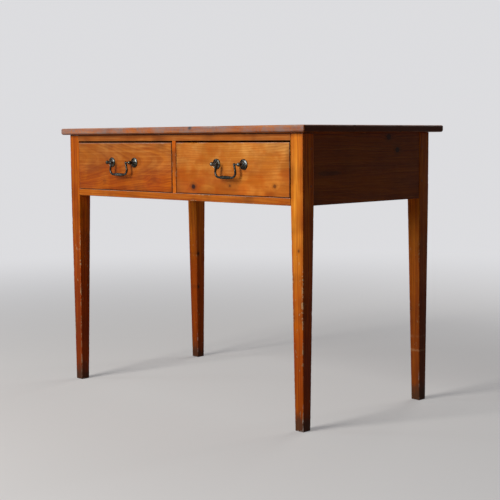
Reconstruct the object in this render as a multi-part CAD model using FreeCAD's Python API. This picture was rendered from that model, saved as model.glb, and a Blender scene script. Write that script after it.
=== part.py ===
import FreeCAD, Part
import math
import os

# Pine side table with two drawers in its frieze, made piece by piece as a joiner makes it.
# Millimetres, +Z up. The origin is on the floor, under the middle of the overall box.
# +X runs along the front to the right, and +Y runs from the front to the back.

os.makedirs("parts", exist_ok=True)

V = FreeCAD.Vector

# Overall form
table_height = 741.0
frame_width = 922.0
frame_depth = 498.0

# Top of three edge-jointed boards
top_thickness = 18.0
top_overhang_side = 20.5
top_overhang_front = 18.0
top_overhang_back = 38.0
top_upper_round = 3.0
top_lower_round = 1.5
top_corner_round = 5.0

# Tapered legs
leg_width = 40.0
foot_width = 26.5
foot_outer_inset = 3.0
foot_wear_height = 3.0
foot_wear_inset = 1.5
leg_arris = 1.2

# Frieze rails
frieze_height = 175.0
rail_thickness = 20.0
rail_setback = 1.5
rail_arris = 0.8
top_rail_height = 19.0
bottom_rail_height = 18.5
divider_width = 14.5

# Mortise and tenon joints
tenon_thickness = 10.0
tenon_shoulder_low = 12.0
tenon_shoulder_high = 16.0
tenon_gap = 32.0
mortise_web = 2.5
mortise_clearance = 1.0
twin_tenon_thickness = 8.0
twin_tenon_shoulder = 6.0
divider_tenon_thickness = 6.0
divider_tenon_width = 17.0
divider_tenon_length = 9.0
divider_tenon_inset = 8.0
peg_radius = 3.0
peg_past_tenon = 5.0
peg_stagger = 12.0
peg_proud = 0.4
peg_clearance = 0.1

# Dovetail that ties the top rail into the front legs
tie_length = 16.0
tie_neck_width = 15.0
tie_end_width = 21.0

# Drawer runners, guides and kickers
runner_width = 38.0
centre_runner_width = 70.0
runner_thickness = 17.0
tongue_thickness = 6.0
tongue_length = 6.0
tongue_shoulder = 4.0
housing_depth = 5.0
guide_height = 22.0
kicker_width = 38.0
centre_kicker_width = 60.0
stop_width = 30.0
stop_length = 14.0
stop_height = 5.0
stop_spread = 220.0
stop_clearance = 0.3
glue_block_side = 20.0
glue_block_length = 70.0
glue_block_bevel = 9.0

# Drawers
drawer_back_space = 34.5
drawer_front_thickness = 19.0
drawer_side_thickness = 10.0
drawer_back_thickness = 9.0
drawer_bottom_thickness = 7.0
drawer_gap_left = 0.8
drawer_gap_right = 1.8
drawer_gap_top = 4.2
drawer_ride = 0.3
drawer_arris = 1.8
side_drop = 2.0
back_drop = 6.0
groove_height = 8.0
groove_depth = 4.5
groove_clearance = 0.3
dovetail_lap = 5.0
dovetail_pin = 6.0
dovetail_slope = 1.0 / 7.0
dovetail_count = 3

# Swan-neck handles
handle_centres = 98.0
handle_rise = 12.0
rosette_radius = 13.5
rosette_height = 5.6
rosette_edge_height = 1.6
rosette_bead_width = 2.2
rosette_bead_height = 2.7
rosette_quirk_width = 0.8
rosette_quirk_height = 1.8
rosette_cove_depth = 0.6
rosette_crown_margin = 1.0
post_shank_radius = 2.4
post_clearance = 0.2
post_collar_radius = 5.2
post_collar_height = 2.0
post_neck_radius = 3.2
post_tail = 2.0
ball_radius = 5.5
pivot_reach = 17.0
nut_width = 10.0
nut_thickness = 4.5
nut_corner_radius = 6.2
pin_radius = 2.0
pin_clearance = 0.06
pin_past_centre = 3.0
knuckle_radius = 3.7
knuckle_gap = 7.1
bail_drop = 33.0
bail_elbow_radius = 13.0
bail_neck_radius = 16.0
bail_turn = math.radians(102.0)
bail_arm_radius = 3.0
bail_grip_radius = 4.6

# Screws and nails
screw_radius = 2.2
screw_head_radius = 4.5
screw_bite = 9.0
fastener_clearance = 0.1
nail_radius = 1.0
nail_head_radius = 2.2
nail_head_thickness = 0.8
bottom_nail_bite = 14.0
bottom_nail_margin = 40.0
runner_nail_bite = 12.0
runner_nail_margin = 60.0

# Heights worked out from the sizes above
z_under_top = table_height - top_thickness
z_frieze = z_under_top - frieze_height
z_opening_low = z_frieze + bottom_rail_height
z_opening_high = z_under_top - top_rail_height

# Depths: the handle tips or the front edge of the top, whichever stands further out, set the box
front_reach = max(top_overhang_front, pivot_reach + ball_radius)
y_front = front_reach - (front_reach + frame_depth + top_overhang_back) / 2
y_back = y_front + frame_depth
y_behind_front_legs = y_front + leg_width
y_before_rear_legs = y_back - leg_width
y_inside_back_rail = y_back - rail_setback - rail_thickness

# Widths from the middle of the table
x_outer = frame_width / 2
x_inside_leg = x_outer - leg_width
x_inside_rail = x_outer - rail_setback - rail_thickness
x_divider = divider_width / 2

# Tenons stop short of each other inside a leg, and pegs go just past the tenons
tenon_length = x_inside_rail - x_inside_leg + (rail_thickness - tenon_thickness) / 2 - mortise_web
peg_length = peg_proud + rail_setback + (rail_thickness + tenon_thickness) / 2 + peg_past_tenon


def box(x0, x1, y0, y1, z0, z1):
    """Solid between two planes each way, given in either order."""
    low = V(min(x0, x1), min(y0, y1), min(z0, z1))
    return Part.makeBox(abs(x1 - x0), abs(y1 - y0), abs(z1 - z0), low)


def prism(corners, along):
    """Solid of a flat polygon pushed along a vector."""
    return Part.Face(Part.makePolygon(corners + corners[:1])).extrude(along)


def joined(solids):
    """One solid from solids that touch or overlap."""
    return solids[0].fuse(solids[1:]).removeSplitter()


def eased(solid, radius, chosen):
    """Round off the edges whose middle passes a test."""
    edges = [edge for edge in solid.Edges if chosen(edge.CenterOfMass)]
    return solid.makeFillet(radius, edges)


def close(a, b):
    """True where two coordinates are the same."""
    return abs(a - b) < 1e-4


def placed(solid, at, toward):
    """Copy of a solid drawn along +Z, turned to face a direction and moved to a point."""
    copy = solid.copy()
    copy.Placement = FreeCAD.Placement(at, FreeCAD.Rotation(V(0, 0, 1), toward))
    return copy


def turned(start, steps):
    """Solid turned about Z. A step is an end point (radius, height), or an arc's middle and end."""
    edges = []
    here = V(start[0], 0, start[1])
    for step in steps + [start]:
        if isinstance(step[0], tuple):
            middle, end = (V(r, 0, h) for r, h in step)
            edges.append(Part.Arc(here, middle, end).toShape())
        else:
            end = V(step[0], 0, step[1])
            edges.append(Part.LineSegment(here, end).toShape())
        here = end
    return Part.Face(Part.Wire(edges)).revolve(V(0, 0, 0), V(0, 0, 1), 360)


def nail(length):
    """Wire nail along +Z, with the underside of its head at the origin."""
    point = nail_radius * 2
    return turned((0, -nail_head_thickness), [
        (nail_head_radius, -nail_head_thickness),
        (nail_head_radius, 0),
        (nail_radius, 0),
        (nail_radius, length - point),
        (0, length),
    ])


def screw(grow):
    """Countersunk screw up through a kicker into the top, or its hole where grow is a clearance."""
    head = screw_head_radius - screw_radius
    tip = top_rail_height + screw_bite
    return turned((0, 0), [
        (screw_head_radius + grow, 0),
        (screw_radius + grow, head),
        (screw_radius + grow, tip - head + grow),
        (0, tip + grow),
    ])


# Joints shared by the legs and the rails

def frieze_tenon_levels():
    """Low and high level of the two tenons at each end of a frieze rail."""
    height = (frieze_height - tenon_shoulder_low - tenon_shoulder_high - tenon_gap) / 2
    low = z_frieze + tenon_shoulder_low
    high = z_under_top - tenon_shoulder_high
    return [(low, low + height), (high - height, high)]


def side_rail_tenons(sx, sy, extra=0.0):
    """Tenons of a side rail in the leg at side sx and end sy, made longer by extra for the mortise."""
    x = sx * (x_inside_rail + rail_thickness / 2)
    y = y_behind_front_legs if sy < 0 else y_before_rear_legs
    half = tenon_thickness / 2
    reach = y + sy * (tenon_length + extra)
    return [box(x - half, x + half, y, reach, z0, z1) for z0, z1 in frieze_tenon_levels()]


def back_rail_tenons(sx, extra=0.0):
    """Tenons of the back rail in the rear leg at side sx."""
    y = y_inside_back_rail + rail_thickness / 2
    half = tenon_thickness / 2
    x = sx * x_inside_leg
    reach = x + sx * (tenon_length + extra)
    return [box(x, reach, y - half, y + half, z0, z1) for z0, z1 in frieze_tenon_levels()]


def bottom_rail_tenons(sx, extra=0.0):
    """Twin tenons of the rail under the drawers in the front leg at side sx."""
    x = sx * x_inside_leg
    reach = x + sx * (tenon_length + extra)
    front = y_front + twin_tenon_shoulder
    rear = y_behind_front_legs - twin_tenon_shoulder
    return [
        box(x, reach, front, front + twin_tenon_thickness, z_frieze, z_opening_low),
        box(x, reach, rear - twin_tenon_thickness, rear, z_frieze, z_opening_low),
    ]


def top_rail_tail(sx):
    """Dovetail of the rail over the drawers, dropped into the top of the front leg at side sx."""
    x = sx * x_inside_leg
    end = x + sx * tie_length
    y = y_front + leg_width / 2
    corners = [
        V(x, y - tie_neck_width / 2, z_opening_high),
        V(end, y - tie_end_width / 2, z_opening_high),
        V(end, y + tie_end_width / 2, z_opening_high),
        V(x, y + tie_neck_width / 2, z_opening_high),
    ]
    return prism(corners, V(0, 0, top_rail_height))


def divider_tenons(extra=0.0):
    """Stub tenons at the top and bottom of the upright between the drawers."""
    half = divider_tenon_thickness / 2
    y0 = y_front + divider_tenon_inset
    y1 = y0 + divider_tenon_width
    reach = divider_tenon_length + extra
    return [
        box(-half, half, y0, y1, z_opening_low - reach, z_opening_low),
        box(-half, half, y0, y1, z_opening_high, z_opening_high + reach),
    ]


def side_pegs(sx, sy, grow=0.0):
    """Pegs driven from the side through the tenons of a side rail, or their bores."""
    y = y_behind_front_legs if sy < 0 else y_before_rear_legs
    y += sy * tenon_length / 2
    pegs = []
    for z0, z1 in frieze_tenon_levels():
        start = V(sx * (x_outer + peg_proud), y, (z0 + z1 + peg_stagger) / 2)
        pegs.append(Part.makeCylinder(peg_radius + grow, peg_length + grow, start, V(-sx, 0, 0)))
    return pegs


def back_pegs(sx, grow=0.0):
    """Pegs driven from behind through the tenons of the back rail, or their bores."""
    x = sx * (x_inside_leg + tenon_length / 2)
    pegs = []
    for z0, z1 in frieze_tenon_levels():
        start = V(x, y_back + peg_proud, (z0 + z1 - peg_stagger) / 2)
        pegs.append(Part.makeCylinder(peg_radius + grow, peg_length + grow, start, V(0, -1, 0)))
    return pegs


# Legs

def leg_section(sx, sy, inset, width, z):
    """Square outline of a leg with eased corners, set in from the outer faces."""
    x0 = sx * (x_outer - inset)
    y0 = y_front + inset if sy < 0 else y_back - inset
    x0, x1 = sorted((x0, x0 - sx * width))
    y0, y1 = sorted((y0, y0 - sy * width))
    r = leg_arris
    centres = [(x1 - r, y1 - r), (x0 + r, y1 - r), (x0 + r, y0 + r), (x1 - r, y0 + r)]
    arcs = []
    for quarter, (cx, cy) in enumerate(centres):
        turns = [math.pi / 2 * t for t in (quarter, quarter + 0.5, quarter + 1)]
        arcs.append([V(cx + r * math.cos(turn), cy + r * math.sin(turn), z) for turn in turns])
    edges = []
    for arc, following in zip(arcs, arcs[1:] + arcs[:1]):
        edges.append(Part.Arc(*arc).toShape())
        edges.append(Part.LineSegment(arc[2], following[0]).toShape())
    return Part.Wire(edges)


def leg(sx, sy):
    """Square leg that tapers below the frieze to a worn foot, with its mortises and bores."""
    sections = [
        leg_section(sx, sy, foot_outer_inset + foot_wear_inset, foot_width - 2 * foot_wear_inset, 0),
        leg_section(sx, sy, foot_outer_inset, foot_width, foot_wear_height),
        leg_section(sx, sy, 0, leg_width, z_frieze),
        leg_section(sx, sy, 0, leg_width, z_under_top),
    ]
    cuts = side_rail_tenons(sx, sy, mortise_clearance) + side_pegs(sx, sy, peg_clearance)
    if sy < 0:
        cuts += bottom_rail_tenons(sx, mortise_clearance) + [top_rail_tail(sx)]
    else:
        cuts += back_rail_tenons(sx, mortise_clearance) + back_pegs(sx, peg_clearance)
    return Part.makeLoft(sections, True, True).cut(cuts)


# Rails

def side_rail(sx):
    """Frieze rail between a front and a rear leg."""
    x0 = sx * x_inside_rail
    x1 = sx * (x_inside_rail + rail_thickness)
    board = box(x0, x1, y_behind_front_legs, y_before_rear_legs, z_frieze, z_under_top)
    board = eased(board, rail_arris, lambda p: close(p.z, z_frieze) and (close(p.x, x0) or close(p.x, x1)))
    pieces = [board] + side_rail_tenons(sx, -1) + side_rail_tenons(sx, 1)
    bores = side_pegs(sx, -1, peg_clearance) + side_pegs(sx, 1, peg_clearance)
    return joined(pieces).cut(bores + side_runner_nails(sx, fastener_clearance))


def back_rail():
    """Frieze rail between the rear legs, housed for the ends of the runners."""
    y0 = y_inside_back_rail
    y1 = y0 + rail_thickness
    board = box(-x_inside_leg, x_inside_leg, y0, y1, z_frieze, z_under_top)
    board = eased(board, rail_arris, lambda p: close(p.z, z_frieze) and (close(p.y, y0) or close(p.y, y1)))
    pieces = [board] + back_rail_tenons(-1) + back_rail_tenons(1)
    cuts = back_pegs(-1, peg_clearance) + back_pegs(1, peg_clearance)
    return joined(pieces).cut(cuts + [side_runner(-1), side_runner(1), centre_runner()])


def front_bottom_rail():
    """Rail under the drawers, with mortises for the divider and the runners."""
    rail = box(-x_inside_leg, x_inside_leg, y_front, y_behind_front_legs, z_frieze, z_opening_low)
    rail = eased(rail, rail_arris, lambda p: close(p.y, y_front) and close(p.x, 0))
    pieces = [rail] + bottom_rail_tenons(-1) + bottom_rail_tenons(1)
    return joined(pieces).cut(divider_tenons() + [side_runner(-1), side_runner(1), centre_runner()])


def front_top_rail():
    """Rail over the drawers, dovetailed into the front legs."""
    rail = box(-x_inside_leg, x_inside_leg, y_front, y_behind_front_legs, z_opening_high, z_under_top)
    rail = eased(rail, rail_arris, lambda p: close(p.y, y_front) and close(p.z, z_opening_high))
    return joined([rail, top_rail_tail(-1), top_rail_tail(1)]).cut(divider_tenons())


def drawer_divider():
    """Upright between the two drawer openings."""
    post = box(-x_divider, x_divider, y_front, y_behind_front_legs, z_opening_low, z_opening_high)
    post = eased(post, rail_arris, lambda p: close(p.y, y_front) and not close(p.x, 0))
    return joined([post] + divider_tenons())


# Runners, guides and kickers

def beside_rear_leg(sx):
    """Space that a rear leg takes out of the strips along a side rail."""
    return box(sx * x_inside_leg, sx * x_outer, y_before_rear_legs, y_back, z_frieze, z_under_top)


def runner_tongue(x0, x1):
    """Tongue on the front end of a runner, held in the bottom rail."""
    z = z_opening_low - runner_thickness / 2
    half = tongue_thickness / 2
    return box(x0, x1, y_behind_front_legs - tongue_length, y_behind_front_legs, z - half, z + half)


def side_runner_nails(sx, grow=0.0):
    """Nails through a side runner into its rail, or their holes."""
    length = runner_width + runner_nail_bite
    z = z_opening_low - runner_thickness / 2
    x = sx * (x_inside_rail - runner_width)
    nails = []
    for y in (y_behind_front_legs + runner_nail_margin, y_before_rear_legs - runner_nail_margin):
        at = V(x, y, z)
        toward = V(sx, 0, 0)
        if grow:
            nails.append(Part.makeCylinder(nail_radius + grow, length + grow, at, toward))
        else:
            nails.append(placed(nail(length), at, toward))
    return nails


def side_runner(sx):
    """Strip that carries the outer side of a drawer, notched round the rear leg."""
    x0 = sx * (x_inside_rail - runner_width)
    x1 = sx * x_inside_rail
    end = y_inside_back_rail + housing_depth
    strip = box(x0, x1, y_behind_front_legs, end, z_opening_low - runner_thickness, z_opening_low)
    tongue = runner_tongue(x0 + sx * tongue_shoulder, sx * (x_inside_leg - tongue_shoulder))
    return joined([strip.cut(beside_rear_leg(sx)), tongue]).cut(side_runner_nails(sx, fastener_clearance))


def centre_runner():
    """Wide strip behind the divider that carries the inner sides of both drawers."""
    half = centre_runner_width / 2
    end = y_inside_back_rail + housing_depth
    strip = box(-half, half, y_behind_front_legs, end, z_opening_low - runner_thickness, z_opening_low)
    return joined([strip, runner_tongue(tongue_shoulder - half, half - tongue_shoulder)])


def guide(x0, x1, end):
    """Strip on a runner that keeps a drawer square."""
    return box(x0, x1, y_behind_front_legs, end, z_opening_low, z_opening_low + guide_height)


def kicker(x0, x1):
    """Strip over the drawer sides that stops a drawer tipping and holds the top down."""
    return box(x0, x1, y_behind_front_legs, y_inside_back_rail, z_opening_high, z_under_top)


def drawer_stops():
    """Small blocks on the bottom rail, behind each drawer front."""
    y0 = y_front + drawer_front_thickness + stop_clearance
    blocks = []
    for side in (-1, 1):
        middle = side * (x_divider + x_inside_leg) / 2
        for x in (middle - stop_spread / 2, middle + stop_spread / 2):
            half = stop_width / 2
            blocks.append(box(x - half, x + half, y0, y0 + stop_length, z_opening_low,
                              z_opening_low + stop_height))
    return blocks


def glue_blocks():
    """Bevelled blocks in the corners between the top and the front and back rails."""
    blocks = []
    for side in (-1, 1):
        x = side * (x_divider + x_inside_leg) / 2 - glue_block_length / 2
        for y, inward in ((y_behind_front_legs, 1), (y_inside_back_rail, -1)):
            far = y + inward * glue_block_side
            low = z_under_top - glue_block_side
            corners = [
                V(x, y, z_under_top),
                V(x, far, z_under_top),
                V(x, far, low + glue_block_bevel),
                V(x, far - inward * glue_block_bevel, low),
                V(x, y, low),
            ]
            blocks.append(prism(corners, V(glue_block_length, 0, 0)))
    return blocks


# Top

board_names = ["front", "middle", "back"]
y_top_front = y_front - top_overhang_front
y_top_back = y_back + top_overhang_back
board_width = (y_top_back - y_top_front) / len(board_names)
x_top = x_outer + top_overhang_side


def top_screw_places():
    """Points under the kickers where a screw holds each board of the top."""
    x_side = x_inside_rail - kicker_width / 2
    rows = [y_top_front + board_width * (number + 0.5) for number in range(len(board_names))]
    return [V(x, y, z_opening_high) for x in (-x_side, 0, x_side) for y in rows]


def top_screws(grow):
    """Screws at all their places, or their holes."""
    return [placed(screw(grow), at, V(0, 0, 1)) for at in top_screw_places()]


def top_boards():
    """The boards of the top, cut from one slab with a rounded edge all round."""
    slab = box(-x_top, x_top, y_top_front, y_top_back, z_under_top, table_height)
    middle = (z_under_top + table_height) / 2
    slab = eased(slab, top_corner_round, lambda p: close(p.z, middle))
    slab = eased(slab, min(top_upper_round, top_thickness / 3), lambda p: close(p.z, table_height))
    slab = eased(slab, min(top_lower_round, top_thickness / 3), lambda p: close(p.z, z_under_top))
    slab = slab.cut(top_screws(fastener_clearance))
    boards = {}
    for number, name in enumerate(board_names):
        y0 = y_top_front + board_width * number
        strip = box(-x_top, x_top, y0, y0 + board_width, z_under_top, table_height)
        boards["top_board_" + name] = slab.common(strip)
    return boards


# Drawers

def dovetails(x0, x1, y_shoulder, y_end, z0, z1):
    """Tails on the end of a drawer side, evenly spaced between two levels and wider at their end."""
    pitch = (z1 - z0) / dovetail_count
    wide = (pitch - dovetail_pin) / 2
    narrow = wide - abs(y_end - y_shoulder) * dovetail_slope
    tails = []
    for number in range(dovetail_count):
        z = z0 + pitch * (number + 0.5)
        corners = [
            V(x0, y_shoulder, z - narrow),
            V(x0, y_end, z - wide),
            V(x0, y_end, z + wide),
            V(x0, y_shoulder, z + narrow),
        ]
        tails.append(prism(corners, V(x1 - x0, 0, 0)))
    return tails


def handle_rosette():
    """Stepped round plate behind a handle post, along +Z from the drawer front."""
    bore = post_shank_radius + post_clearance
    bead = rosette_radius - rosette_bead_width
    quirk = bead - rosette_quirk_width
    crown = post_collar_radius + rosette_crown_margin
    cove = ((quirk + crown) / 2, (rosette_quirk_height + rosette_height) / 2 - rosette_cove_depth)
    bead_middle = ((rosette_radius + bead) / 2, rosette_bead_height)
    return turned((bore, 0), [
        (rosette_radius, 0),
        (rosette_radius, rosette_edge_height),
        (bead_middle, (bead, rosette_edge_height)),
        (quirk, rosette_quirk_height),
        (cove, (crown, rosette_height)),
        (bore, rosette_height),
    ])


def handle_post():
    """Turned post with a threaded shank behind, a collar, a neck and a drilled ball."""
    tail = drawer_front_thickness + nut_thickness + post_tail
    collar = rosette_height + post_collar_height
    bead = (post_collar_radius - post_neck_radius) / 2
    ball_low = pivot_reach - math.sqrt(ball_radius ** 2 - post_neck_radius ** 2)
    post = turned((0, -tail), [
        (post_shank_radius, -tail),
        (post_shank_radius, rosette_height),
        (post_collar_radius - bead, rosette_height),
        ((post_collar_radius, (rosette_height + collar) / 2), (post_collar_radius - bead, collar)),
        (post_neck_radius, collar),
        (post_neck_radius, ball_low),
        ((ball_radius, pivot_reach), (0, pivot_reach + ball_radius)),
    ])
    start = V(-2 * ball_radius, 0, pivot_reach)
    hole = Part.makeCylinder(pin_radius + pin_clearance, 4 * ball_radius, start, V(1, 0, 0))
    return post.cut(hole)


def handle_nut():
    """Square nut with its corners turned off, along +Z from the inside of the drawer front."""
    half = nut_width / 2
    square = box(-half, half, -half, half, 0, nut_thickness)
    barrel = Part.makeCylinder(nut_corner_radius, nut_thickness)
    bore = Part.makeCylinder(post_shank_radius + fastener_clearance, nut_thickness)
    return square.common(barrel).cut(bore)


def disc(centre, normal):
    """Round section of a bail arm."""
    return Part.Face(Part.Wire([Part.Circle(centre, normal, bail_arm_radius).toShape()]))


def bail_arm():
    """Swan-neck arm from the end of the grip up to the pivot, its top end, and where the grip ends."""
    top = V(handle_centres / 2 - ball_radius - knuckle_gap - knuckle_radius, 0, 0)
    out = V(math.cos(bail_turn), 0, math.sin(bail_turn))
    rise = bail_elbow_radius * (1 - out.x) - bail_neck_radius * out.x
    straight = out * ((bail_drop - rise) / out.z)
    neck_start = top + V(bail_neck_radius * (1 - out.z), 0, bail_neck_radius * out.x)
    elbow_end = neck_start - straight
    elbow_start = V(elbow_end.x - bail_elbow_radius * out.z, 0, -bail_drop)
    elbow_centre = elbow_start + V(0, 0, bail_elbow_radius)
    neck_centre = top + V(bail_neck_radius, 0, 0)
    turn = math.degrees(bail_turn)
    elbow = disc(elbow_start, V(1, 0, 0)).revolve(elbow_centre, V(0, -1, 0), turn)
    shank = disc(elbow_end, out).extrude(straight)
    neck = disc(neck_start, out).revolve(neck_centre, V(0, 1, 0), turn - 90)
    return [elbow, shank, neck], top, elbow_start.x


def handle_bail():
    """Bail with a swelled grip, two swan-neck arms and a pin at each end, about its pivot line."""
    arm, top, grip_half = bail_arm()
    swell = bail_grip_radius - bail_arm_radius
    bow = (grip_half ** 2 + swell ** 2) / (2 * swell)

    def on_bow(share):
        """Point on the bowed outline of the grip, at a share of its half length."""
        along = share * grip_half
        return bail_grip_radius - bow + math.sqrt(bow ** 2 - along ** 2), along

    spans = [(on_bow(end - 0.25), on_bow(end)) for end in (-0.5, 0, 0.5, 1)]
    grip = turned((0, -grip_half), [(bail_arm_radius, -grip_half)] + spans + [(0, grip_half)])
    grip = placed(grip, V(0, 0, -bail_drop), V(1, 0, 0))
    knuckle = Part.makeSphere(knuckle_radius, top)
    pin = Part.makeCylinder(pin_radius, handle_centres / 2 + pin_past_centre - top.x, top, V(1, 0, 0))
    half = arm + [knuckle, pin]
    other = [solid.mirror(V(0, 0, 0), V(1, 0, 0)) for solid in half]
    return joined([grip] + half + other)


def drawer(name, x_low, x_high):
    """All the pieces of one drawer, in an opening between two faces."""
    x0 = x_low + drawer_gap_left
    x1 = x_high - drawer_gap_right
    z0 = z_opening_low + drawer_ride
    front_top = z_opening_high - drawer_gap_top
    side_top = front_top - side_drop
    y_inner = y_front + drawer_front_thickness
    y_end = y_inside_back_rail - drawer_back_space
    y_back_board = y_end - drawer_back_thickness
    z_groove = z0 + groove_height
    z_floor = z_groove + drawer_bottom_thickness
    back_top = side_top - back_drop
    middle = (x0 + x1) / 2
    z_handle = (z0 + front_top) / 2 + handle_rise
    post_places = [V(middle + s * handle_centres / 2, y_front, z_handle) for s in (-1, 1)]

    front_tails = []
    back_tails = []
    sides = []
    for outer, inner in ((x0, x0 + drawer_side_thickness), (x1, x1 - drawer_side_thickness)):
        lapped = dovetails(outer, inner, y_inner, y_front + dovetail_lap, z0, side_top)
        through = dovetails(outer, inner, y_back_board, y_end, z_floor, back_top)
        board = box(outer, inner, y_inner, y_back_board, z0, side_top)
        below = box(outer, inner, y_back_board, y_end, z0, z_floor)
        above = box(outer, inner, y_back_board, y_end, back_top, side_top)
        deep = inner + math.copysign(groove_depth, outer - inner)
        groove = box(deep, inner, y_front + dovetail_lap, y_end, z_groove, z_floor)
        sides.append(joined([board, below, above] + lapped + through).cut(groove))
        front_tails += lapped
        back_tails += through

    tray0 = x0 + drawer_side_thickness - groove_depth
    tray1 = x1 - drawer_side_thickness + groove_depth
    front = box(x0, x1, y_front, y_inner, z0, front_top)
    front = eased(front, drawer_arris, lambda p: close(p.y, y_front))
    bores = [Part.makeCylinder(post_shank_radius + post_clearance, drawer_front_thickness, at, V(0, 1, 0))
             for at in post_places]
    groove = box(tray0, tray1, y_inner - groove_depth, y_inner, z_groove, z_floor)
    front = front.cut(front_tails + bores + [groove])

    nail_length = drawer_bottom_thickness + bottom_nail_bite
    nail_y = (y_back_board + y_end) / 2
    nail_places = [V(x, nail_y, z_groove)
                   for x in (x0 + bottom_nail_margin, middle, x1 - bottom_nail_margin)]
    nails = [placed(nail(nail_length), at, V(0, 0, 1)) for at in nail_places]
    holes = [Part.makeCylinder(nail_radius + fastener_clearance, nail_length + fastener_clearance, at)
             for at in nail_places]
    back = box(x0, x1, y_back_board, y_end, z_floor, back_top).cut(back_tails + holes)
    bottom = box(tray0 + groove_clearance, tray1 - groove_clearance,
                 y_inner - groove_depth + groove_clearance, y_end, z_groove, z_floor).cut(holes)

    outward = V(0, -1, 0)
    nut_places = [at + V(0, drawer_front_thickness, 0) for at in post_places]
    pivot = V(middle, y_front - pivot_reach, z_handle)
    return {
        name + "_drawer_front": front,
        name + "_drawer_left_side": sides[0],
        name + "_drawer_right_side": sides[1],
        name + "_drawer_back": back,
        name + "_drawer_bottom": bottom,
        name + "_drawer_bottom_nails": Part.makeCompound(nails),
        name + "_handle_rosettes": Part.makeCompound([placed(handle_rosette(), at, outward)
                                                      for at in post_places]),
        name + "_handle_posts": Part.makeCompound([placed(handle_post(), at, outward)
                                                   for at in post_places]),
        name + "_handle_nuts": Part.makeCompound([placed(handle_nut(), at, V(0, 1, 0))
                                                  for at in nut_places]),
        name + "_handle_bail": placed(handle_bail(), pivot, V(0, 0, 1)),
    }


# Assembly

nodes = top_boards()
pegs = []
runner_nails = []
screw_holes = top_screws(fastener_clearance)
for side, sx in (("left", -1), ("right", 1)):
    for end, sy in (("front", -1), ("rear", 1)):
        nodes["leg_" + end + "_" + side] = leg(sx, sy)
        pegs += side_pegs(sx, sy)
    pegs += back_pegs(sx)
    nodes["side_rail_" + side] = side_rail(sx)
    nodes["runner_" + side] = side_runner(sx)
    nodes["guide_" + side] = guide(sx * x_inside_leg, sx * x_inside_rail, y_before_rear_legs)
    strip = kicker(sx * (x_inside_rail - kicker_width), sx * x_inside_rail)
    nodes["kicker_" + side] = strip.cut([beside_rear_leg(sx)] + screw_holes)
    runner_nails += side_runner_nails(sx)
nodes["back_rail"] = back_rail()
nodes["front_top_rail"] = front_top_rail()
nodes["front_bottom_rail"] = front_bottom_rail()
nodes["drawer_divider"] = drawer_divider()
nodes["runner_centre"] = centre_runner()
nodes["guide_centre"] = guide(-x_divider, x_divider, y_inside_back_rail)
nodes["kicker_centre"] = kicker(-centre_kicker_width / 2, centre_kicker_width / 2).cut(screw_holes)
nodes["drawer_stops"] = Part.makeCompound(drawer_stops())
nodes["glue_blocks"] = Part.makeCompound(glue_blocks())
nodes["top_screws"] = Part.makeCompound(top_screws(0.0))
nodes["tenon_pegs"] = Part.makeCompound(pegs)
nodes["runner_nails"] = Part.makeCompound(runner_nails)
nodes.update(drawer("left", -x_inside_leg, -x_divider))
nodes.update(drawer("right", x_divider, x_inside_leg))

for name, shape in nodes.items():
    shape.exportStep("parts/" + name + ".step")
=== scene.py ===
import math
from collections import namedtuple
from contextlib import contextmanager

import bpy
from bpy.props import FloatProperty, FloatVectorProperty, PointerProperty
from mathutils import Matrix, Vector, noise


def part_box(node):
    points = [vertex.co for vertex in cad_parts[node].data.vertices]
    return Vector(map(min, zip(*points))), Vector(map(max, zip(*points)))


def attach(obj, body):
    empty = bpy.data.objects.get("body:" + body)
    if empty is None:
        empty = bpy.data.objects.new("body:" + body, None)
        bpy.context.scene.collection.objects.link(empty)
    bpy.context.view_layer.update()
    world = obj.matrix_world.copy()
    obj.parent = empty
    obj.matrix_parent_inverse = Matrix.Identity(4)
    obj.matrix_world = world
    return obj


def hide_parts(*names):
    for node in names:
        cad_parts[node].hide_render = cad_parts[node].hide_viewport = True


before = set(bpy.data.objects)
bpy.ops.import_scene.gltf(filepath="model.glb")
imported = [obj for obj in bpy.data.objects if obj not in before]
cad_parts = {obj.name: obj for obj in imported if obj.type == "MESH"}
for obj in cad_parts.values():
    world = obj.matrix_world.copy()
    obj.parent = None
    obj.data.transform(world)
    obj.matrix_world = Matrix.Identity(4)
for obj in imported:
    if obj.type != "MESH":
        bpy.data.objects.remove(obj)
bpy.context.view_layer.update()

bl_info = {
    "name": "Old pine side table",
    "version": (1, 0, 0),
    "blender": (4, 5, 0),
    "location": "View3D > Sidebar > Pine Table",
    "description": "Dresses the packed table with worn pine, brass handles and a studio stage",
    "category": "Object",
}

MM = 0.001
AXES = "XYZ"
# Points closer than these lie on a plane or are one, and faces that meet at less are shaded as one.
TOUCH = 1e-5
MERGE = 1e-6
CREASE = math.radians(35)

# How each show board was sawn and what has happened to it since, in metres in the table's frame.
# axes: grain, across and depth. seed: where its noise starts. tone: tint of the whole board.
# pith: the tree's heart from the middle of the board, across and in depth. lean: how far the rings run out.
# figure, mottle, gloss, wear, rub: strength of rings, patches, polish, worn edges and the painted grey
# reflection on the edges.
# deep: heights between which it turns redder and darker, painted shade lower down. fade: places along the
# grain between which it darkens.
# right: tint of the faces that look to the right, painted light and shade. seam: the axis on whose far side a
# line of painted shade lies.
# scuffs: heights at which something has rubbed across a leg.
Board = namedtuple(
    "Board", "axes seed pith lean tone figure mottle gloss wear knots rub deep fade right seam scuffs",
    defaults=(0.6, 0.4, 0.2, 0.3, (), 0, None, None, None, None, ()))
# A knot's place along the grain and across it, its radius and its darkness. A knot in one face alone also has
# its depth, and a long knot how many times longer it is than wide.
Knot = namedtuple("Knot", "along across radius dark depth stretch", defaults=(None, 1))
Change = namedtuple("Change", "start end strength")
Seam = namedtuple("Seam", "axis width")
Taper = namedtuple("Taper", "start shrink centre")

# Painted shade, redder and darker lower down the legs.
LEG_SHADE = Change(0.5, 0.22, 1.0)
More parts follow.
